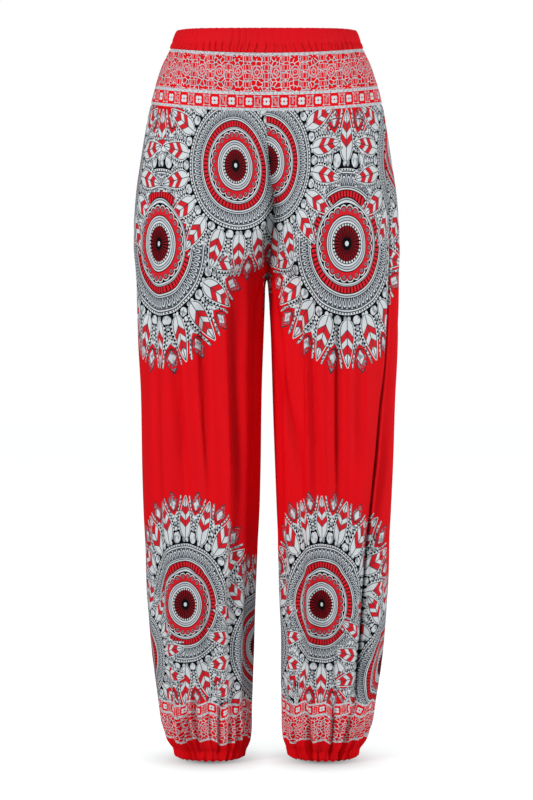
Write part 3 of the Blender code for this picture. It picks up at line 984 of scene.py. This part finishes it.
def paint_rings(tree, wedge):
    """The rings and what is drawn in them: spokes, lobes with eyes, bricks, arches and a row of dots."""
    r = wedge.r
    ink = Print(tree, ramp(tree, r, 0, RINGS_END, RINGS))
    ink.lay(r.near(11.8, 5.6) & (wedge.rays(SPOKES) < 0.94 - r * 0.034), "black")
    ink.lay(r.near(18.7, 1) & (wedge.rays(SPOKES + 4) > 0.4), "white")
    lobe = wedge.rays(LOBES)
    beyond = r - (lobe * (2 - lobe)).root() * 3.6 - 33.4
    for edge, colour_name in ((1.5, "white"), (0.3, "black"), (-0.5, "rose")):
        ink.lay(r.near(34.8, 5.2) & (beyond < edge), colour_name)
    eye = length(r - 33.6, (1 - lobe) * 4.4)
    for edge, colour_name in ((2.5, "maroon"), (1.9, "grey"), (0.9, "maroon")):
        ink.lay(eye < edge, colour_name)
    ink.lay(r.near(45.8, 3) & (wedge.rays(BRICKS) < 0.3), "black")
    hatch = wedge.rays(2 * ARCHES)
    in_arches = r.near(59.7, 5.2)
    under_arches = in_arches & (r > 57)
    arch = length(((r - 60.2) * 0.6).at_least(0), (1 - wedge.rays(ARCHES)) * 3.2)
    ink.lay(in_arches & (hatch < 0.4), "pale")
    ink.lay(in_arches & (hatch > 0.78), "slate")
    ink.lay(in_arches & arch.near(2.3, 0.45), "black")
    ink.lay(under_arches & arch.near(1.5, 0.4), "white")
    ink.lay(under_arches & (arch < 0.6), "slate")
    ink.lay(r.near(69.5, 0.8) & (wedge.rays(DOTS) < 0.4), "black")
    return ink.colour


def paint_ornament(tree, wedge, ground):
    """The whole ornament over a ground colour."""
    ink = Print(tree, ground)
    paint_gaps(tree, wedge, ink)
    paint_petals(tree, wedge, ink)
    ink.lay(wedge.r < RINGS_END, paint_rings(tree, wedge))
    return ink.colour


# Where the ornaments lie on each leg panel's cloth: across from its grain line towards the side seam, up from
# the origin, and their radius. First those on top, then those that they cover, of which the last one is the
# lowest.
ORNAMENTS = {
    "right_leg_front": (
        ((-75, -184, 159), (225, -184, 160), (-140, -843, 134), (144, -860, 126)),
        ((77, -290, 179), (-330, -318, 179), (25, -780, 148)),
    ),
    "left_leg_front": (
        ((-134, -177, 155), (181, -178, 157), (118, -866, 134), (-195, -846, 134)),
        ((20, -289, 179), (-330, -318, 179), (-29, -780, 148)),
    ),
    "right_leg_back": (
        ((-95, -182, 160), (205, -184, 160), (-170, -848, 134), (168, -866, 134)),
        ((55, -288, 179), (0, -782, 148)),
    ),
    "left_leg_back": (
        ((-100, -180, 160), (185, -178, 157), (-165, -850, 134), (172, -866, 134)),
        ((50, -290, 179), (404, -289, 179), (341, -780, 148), (5, -780, 148)),
    ),
}
# An ornament underneath shows its middle through the petals of one on top.
SHOWN_THROUGH = 42
ON_TOP_ALONE = 72


def nearest(tree, cloth, ornaments):
    """The place on the cloth, in parts, from the middle of the nearest of some ornaments."""
    best = best_r = None
    for across, height, radius in ornaments:
        scale = RADIUS / (radius * MM)
        shift = (-across * MM * scale, -height * MM * scale, 0)
        place = vector_math(tree, "MULTIPLY_ADD", cloth, (scale, scale, 0), shift)
        r = Wire(tree, vector_math(tree, "LENGTH", place))
        best = place if best is None else choose(tree, r < best_r, place, best, "VECTOR")
        best_r = r if best_r is None else r.at_most(best_r)
    return best, best_r


def leg_ornament(tree, panel, cloth):
    """Which ornament shows at a place, as the place in its parts. The upper side of those underneath is
    drawn out a little."""
    (top, top_r), (under, under_r) = (nearest(tree, cloth, table) for table in ORNAMENTS[panel.name])
    x, y = parts_of(tree, under)
    drawn_out = (y - 38).at_least(0).at_most(8) * 0.38 + (y - 74).at_least(0).at_most(16) * 0.36
    under = vector(tree, x, y - drawn_out)
    over = Wedge(tree, top)
    on_ground = over.drop() & (under_r > RADIUS - 8)
    shows = (top_r < ON_TOP_ALONE) | (over.covers() & (under_r > SHOWN_THROUGH)) | on_ground
    return choose(tree, shows, top, under, "VECTOR")


# The printed border that edges the yoke and the hems, as it is on the yoke, in mm down from its netted side.
BORDER_END = 75.6
NET = (3.6, 50.6)
FLOWERS = (54.6, 71.8)
LINES = ((0, 3.6), (50.6, 54.6), (71.8, BORDER_END))
COLUMN_STEP = 25.8
FLOWER_STEP = 23.6


def between(value, limits):
    """1 between two limits, else 0."""
    low, high = limits
    return value.near((low + high) / 2, (high - low) / 2)


def paint_border(tree, along, down, ground, lines, bars):
    """The border over a ground colour, for distances in mm along it and down into it, with net lines so wide,
    and with bars in its net or without."""
    place = vector(tree, along, down)
    ink = Print(tree, ground)

    # a net of red cells, with columns of red bars and nests of arcs between the columns
    in_net = between(down, NET)
    net = cells(tree, place, 6.2, "DISTANCE_TO_EDGE")
    from_gap = (along + COLUMN_STEP / 2).repeat(COLUMN_STEP)
    nest = length(from_gap, (down - 25) * 0.8)
    in_nest = (nest < 8) & in_net
    ink.lay(in_net, "red")
    ink.lay(in_net & (net < lines * 2) & (noise(tree, place, 9, 1) > 0.48), "slate")
    ink.lay(in_net & (net < lines), "white")
    ink.lay(in_nest, "red")
    ink.lay(in_nest & (abs(nest.repeat(3.2)) < 0.5), "pale")
    ink.lay(in_nest & (net < 0.05), "pale")
    if bars:
        from_column = abs(along.repeat(COLUMN_STEP))
        rung = abs((down - 8).repeat(11.2))
        ink.lay(in_net & (from_column < 5.6) & (rung < 4), "pale")
        ink.lay(in_net & (from_column < 4.8) & (rung < 3.2), "red")
        ink.lay(in_net & from_column.near(2.4, 0.4) & rung.near(1.3, 1.3), "pale")
    ink.lay((abs(from_gap) < 4.2) & (down.near(47.6, 1.3) | down.near(6.6, 1.2)), "red")

    # a row of four-petalled flowers and outlined squares
    level = abs(down - sum(FLOWERS) / 2)
    in_flowers = between(down, FLOWERS)
    flower_x = abs(along.repeat(FLOWER_STEP))
    square_x = abs((along + FLOWER_STEP / 2).repeat(FLOWER_STEP))
    square = (square_x - 4.4).at_least(level - 6.6)
    ink.lay(in_flowers, "red")
    ink.lay(in_flowers & square.near(-0.4, 0.4), "pale")
    ink.lay(in_flowers & (length(square_x - 4.2, level - 6.4) < 1.3), "pale")
    ink.lay(square.near(-2.2, 0.35) & (net > 0.2), "pale")
    ink.lay(square.near(-3.7, 0.3), "pale")
    ink.lay(length(flower_x - 1.9, level - 2.3) < 2.5, "white")
    ink.lay(length(flower_x, level) < 1.2, "maroon")

    # the white lines between and beside them, with short dark dashes
    stretched = vector_math(tree, "MULTIPLY", place, (0.3, 1.2, 1))
    dashes = cells(tree, stretched, 2.2, "DISTANCE_TO_EDGE") < 0.07
    for limits in LINES:
        ink.lay(between(down, limits), "white")
        ink.lay(between(down, limits) & dashes, "grey")
    return ink.colour


# ---- Materials ----

WEAVE = 0.55 * MM
SLUB = 1.1 * MM
CRUMPLE = 9 * MM
MOTTLE = 60 * MM


def cloth_material(name, roughness, paint):
    """Viscose: the paint's colour mottled a little, painted shade, a fine weave and a soft sheen."""
    material = bpy.data.materials.new(name)
    material.use_nodes = True
    tree = material.node_tree
    shader = tree.nodes["Principled BSDF"]
    cloth = new_node(tree, "UVMap", uv_map=CLOTH_MAP).outputs[0]
    across, up = parts_of(tree, cloth)
    painted_shade = Wire(tree, new_node(tree, "Attribute", attribute_name=PAINTED_SHADE).outputs["Fac"])
    slubs = noise(tree, vector_math(tree, "MULTIPLY", cloth, (1, 0.08, 1)), SLUB, 1)
    # Mottled tone, darkened by the painted shade that the mesh holds in tucks, creases and gathers.
    shade = (0.93 + noise(tree, cloth, MOTTLE, 3) * 0.10 + slubs * 0.04) * (1 - painted_shade)
    coloured = new_node(tree, "VectorMath", {0: paint(tree, cloth), "Scale": shade}, operation="SCALE")
    threads = (across * (2 * math.pi / WEAVE)).sine() * (up * (2 * math.pi / WEAVE)).sine()
    height = threads * 0.05 + noise(tree, cloth, CRUMPLE, 3) * 0.55 + slubs * 0.12
    bump = new_node(tree, "Bump", {"Strength": 0.35, "Distance": 1.0 * MM, "Height": height})
    for key, value in (("Base Color", coloured.outputs[0]), ("Normal", bump.outputs[0]),
                       ("Roughness", roughness), ("Specular IOR Level", 0.06)):
        feed(tree, shader.inputs[key], value)
    return material


def plain_paint(ink):
    return lambda tree, cloth: INK[ink][:3]


# The widths of the net's lines, and how the hem's border lies on its cloth. Beads fill the ground above it.
YOKE_LINES = 0.07
HEM_LINES = 0.078
HEM_SCALE = 0.72
HEM_STRETCH = 1.1
HEM_START = -971 * MM
FILLED_BELOW = -888 * MM
FILLED_BESIDE = 44 * MM


def beaded(tree, panel, cloth):
    """Red ground with black and white beads where it would show beside the lowest ornament's foot."""
    across, up = parts_of(tree, cloth)
    foot = ORNAMENTS[panel.name][1][-1][0] * MM
    filled = between(up, (HEM_START, FILLED_BELOW)) & (abs(across - foot) > FILLED_BESIDE)
    ink = Print(tree, INK["red"])
    ink.lay(filled, "black")
    ink.lay(filled & (cells(tree, cloth, 10.5 * MM, "F1") < 0.44), silver(tree, cloth, 7 * MM))
    return ink.colour


def leg_paint(panel):
    def paint(tree, cloth):
        ground = beaded(tree, panel, cloth)
        ornament = paint_ornament(tree, Wedge(tree, leg_ornament(tree, panel, cloth)), ground)
        across, up = parts_of(tree, cloth)
        rise = (up - HEM_START) / (MM * HEM_SCALE)
        border = paint_border(tree, across / (MM * HEM_STRETCH), rise, ground, HEM_LINES, bars=False)
        return choose(tree, rise < BORDER_END, border, ornament, "RGBA")
    return paint


def yoke_paint(tree, cloth):
    across, down = parts_of(tree, cloth)
    return paint_border(tree, across / MM, down / MM, INK["red"], YOKE_LINES, bars=True)


# ---- The garment ----

# The flat cuts in metres, and each leg panel's area without the corner that the crotch curve takes off.
WAISTBAND_CUT = (0.96, 0.028)
YOKE_CUT = (0.47, 0.075)
CASING_CUT = (0.42, 0.014)
LEG_CUTS = {
    "right_leg_front": ((0.36, 0.90), 0.30), "right_leg_back": ((0.38, 0.91), 0.315),
    "left_leg_front": ((0.29, 0.90), 0.24), "left_leg_back": ((0.45, 0.91), 0.385),
}


def stand_in(piece, node, slot, **sheet):
    """Hides the imported solid that a piece stands for. The piece, material slot and sheet are not used."""
    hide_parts(node)


def dress():
    """Every piece of the garment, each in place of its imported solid."""
    bright = cloth_material("waistband_viscose", 0.62, plain_paint("bright"))
    plain = cloth_material("red_viscose", 0.62, plain_paint("red"))
    yoke_cloth = cloth_material("yoke_print_viscose", 0.66, yoke_paint)
    reverse = cloth_material("reverse_of_print", 0.75, plain_paint("reverse"))

    band = ring("waistband_casing", waistband_loops(), bright, flip=False)
    stand_in(band, "waistband", "waistband_cloth", flat=WAISTBAND_CUT, held="gathered",
             rests_on=["yoke_front_panel", "yoke_back_panel"])

    for name, way in (("yoke_front", 1), ("yoke_back", -1)):
        piece = shell(name + "_panel", *yoke_grid(way), [yoke_cloth, reverse], flip=way < 0)
        stand_in(piece, name, "yoke_print", flat=YOKE_CUT, held="stretched", rests_on=["waistband_casing"])

    for panel in PANELS:
        cloth = cloth_material(panel.name + "_viscose", 0.66, leg_paint(panel))
        piece = shell(panel.name + "_panel", *leg_grid(panel), [cloth, reverse], flip=panel.side == panel.way)
        flat, area = LEG_CUTS[panel.name]
        yoke = "yoke_front_panel" if panel.way > 0 else "yoke_back_panel"
        stand_in(piece, panel.name, "leg_print", flat=flat, area=area, held="gathered", rests_on=[yoke])

    for name, side in (("right_ankle_casing", -1), ("left_ankle_casing", 1)):
        piece = ring(name + "_cloth", casing_loops(side), plain, flip=side > 0)
        legs = [panel.name + "_panel" for panel in PANELS if panel.side == side]
        stand_in(piece, name, "casing_cloth", flat=CASING_CUT, held="gathered", rests_on=legs)


# ---- Camera, light and floor ----

CAMERA_AWAY = 6.0
CAMERA_PLACE = (0, -CAMERA_AWAY, -0.08)
CAMERA_TARGET = (0, 0, -0.507)
SENSOR = 36.0
FRAME_HEIGHT = 1.093
# Each light's name, place, size and power. All of them aim at the middle of the garment.
LIGHTS = (
    ("key", (-2.9, -3.4, 0.7), 1.1, 116), ("side", (4.4, -1.0, -0.3), 1.2, 96),
    ("front", (1.6, -4.6, -0.9), 1.6, 27),
)
LIGHT_TARGET = (0, 0, -0.5)


def aim(thing, place, target):
    thing.location = place
    thing.rotation_euler = (Vector(target) - Vector(place)).to_track_quat("-Z", "Y").to_euler()


def add_camera():
    data = bpy.data.cameras.new("camera")
    data.sensor_width = SENSOR
    data.lens = SENSOR * CAMERA_AWAY / FRAME_HEIGHT
    camera = new_object("camera", data)
    aim(camera, CAMERA_PLACE, CAMERA_TARGET)
    bpy.context.scene.camera = camera


def add_light(name, place, size, power):
    data = bpy.data.lights.new(name, "AREA")
    data.size = size
    data.energy = power
    aim(new_object(name, data), place, LIGHT_TARGET)


AMBIENT = 0.27
FLOOR_LEVEL = -1.004
FLOOR_HALF = 6.0
FLOOR_COLOUR = (0.38, 0.45, 0.45, 1)
FLOOR_GLOW = 0.88
ANKLE_AT = 78 * MM
SHADOW_WIDTH = 54 * MM
SHADOW_DEPTH = 74 * MM
SHADOW_DARK = 0.9


def camera_only(tree):
    """1 where the camera looks itself, else 0: the ground looks white, and lights the garment less."""
    return Wire(tree, new_node(tree, "LightPath").outputs["Is Camera Ray"])


def add_world():
    scene = bpy.context.scene
    scene.view_settings.view_transform = "Standard"
    scene.world = bpy.data.worlds.new("world")
    scene.world.use_nodes = True
    tree = scene.world.node_tree
    background = tree.nodes["Background"]
    feed(tree, background.inputs["Color"], (1, 1, 1, 1))
    feed(tree, background.inputs["Strength"], camera_only(tree) * (1 - AMBIENT) + AMBIENT)


def add_floor():
    """A white floor, with the soft shadow that the ankles throw on it drawn by place."""
    mesh = bpy.data.meshes.new("floor")
    corners = [(x * FLOOR_HALF, y * FLOOR_HALF, FLOOR_LEVEL) for x, y in ((-1, -1), (1, -1), (1, 1), (-1, 1))]
    mesh.from_pydata(corners, [], [(0, 1, 2, 3)])
    material = bpy.data.materials.new("floor_white")
    material.use_nodes = True
    tree = material.node_tree
    x, y = parts_of(tree, new_node(tree, "TexCoord").outputs["Object"])
    from_ankle = length((abs(x) - ANKLE_AT) / SHADOW_WIDTH, y / SHADOW_DEPTH)
    bright = 1 - (from_ankle.power(1.5) * -1).op("EXPONENT") * SHADOW_DARK
    for key, value in (("Base Color", FLOOR_COLOUR), ("Roughness", 0.9), ("Specular IOR Level", 0),
                       ("Emission Color", (1, 1, 1, 1)),
                       ("Emission Strength", bright * FLOOR_GLOW * camera_only(tree))):
        feed(tree, tree.nodes["Principled BSDF"].inputs[key], value)
    mesh.materials.append(material)
    new_object("floor", mesh)


add_camera()
add_world()
for light in LIGHTS:
    add_light(*light)
add_floor()
dress()
